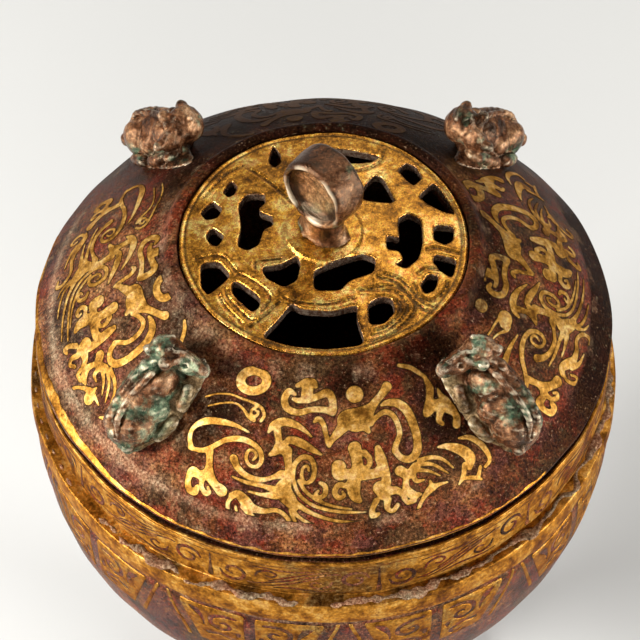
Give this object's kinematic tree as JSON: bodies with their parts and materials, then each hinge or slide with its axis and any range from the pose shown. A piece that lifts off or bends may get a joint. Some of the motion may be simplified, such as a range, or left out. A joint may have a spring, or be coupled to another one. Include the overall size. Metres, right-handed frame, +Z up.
{
  "type": "stemmed incense burner",
  "caption": "Lidded bronze incense burner on a stem: deep bowl with gold bands, lift-off domed lid with an openwork vent disc, an upright knob and small lying beasts.",
  "frame": {"origin": "middle of the foot's standing ring, on the surface that the burner stands on", "axes": "+Z up along the stem, front of the burner towards -Y, +X to the right seen from the front"},
  "size_m": [0.135, 0.135, 0.2034],
  "materials": {
    "bronze": "cast bronze with a reddish brown patina and soil in the hollows",
    "relief_bronze": "waxed cast bronze with brown and green patina",
    "gold": "burnished gold sheet, worn",
    "gilt_bronze": "gilded cast bronze, gilding worn at the edges",
    "pin_bronze": "plain worked bronze",
    "iron": "dark wrought iron"
  },
  "bodies": {
    "stand": {"foot": "bronze", "stem": "bronze", "tie_rod": "iron", "tie_rod_washer": "iron", "bowl": "bronze", "rim_band": "gold", "girdle_band": "gold"},
    "lid": {"lid_dome": "bronze", "lid_edge_band": "gold", "vent_disc": "gilt_bronze", "knob": "relief_bronze", "knob_pin": "pin_bronze", "beast_front_left": "relief_bronze", "beast_front_right": "relief_bronze", "beast_back_left": "relief_bronze", "beast_back_right": "relief_bronze", "beast_pin_front_left": "pin_bronze", "beast_pin_front_right": "pin_bronze", "beast_pin_back_left": "pin_bronze", "beast_pin_back_right": "pin_bronze"}
  },
  "joints": [
    {"name": "lid_lift", "type": "slide", "parent": "stand", "child": "lid", "axis": [0, 0, 1], "range_m": [0, 0.09]}
  ]
}
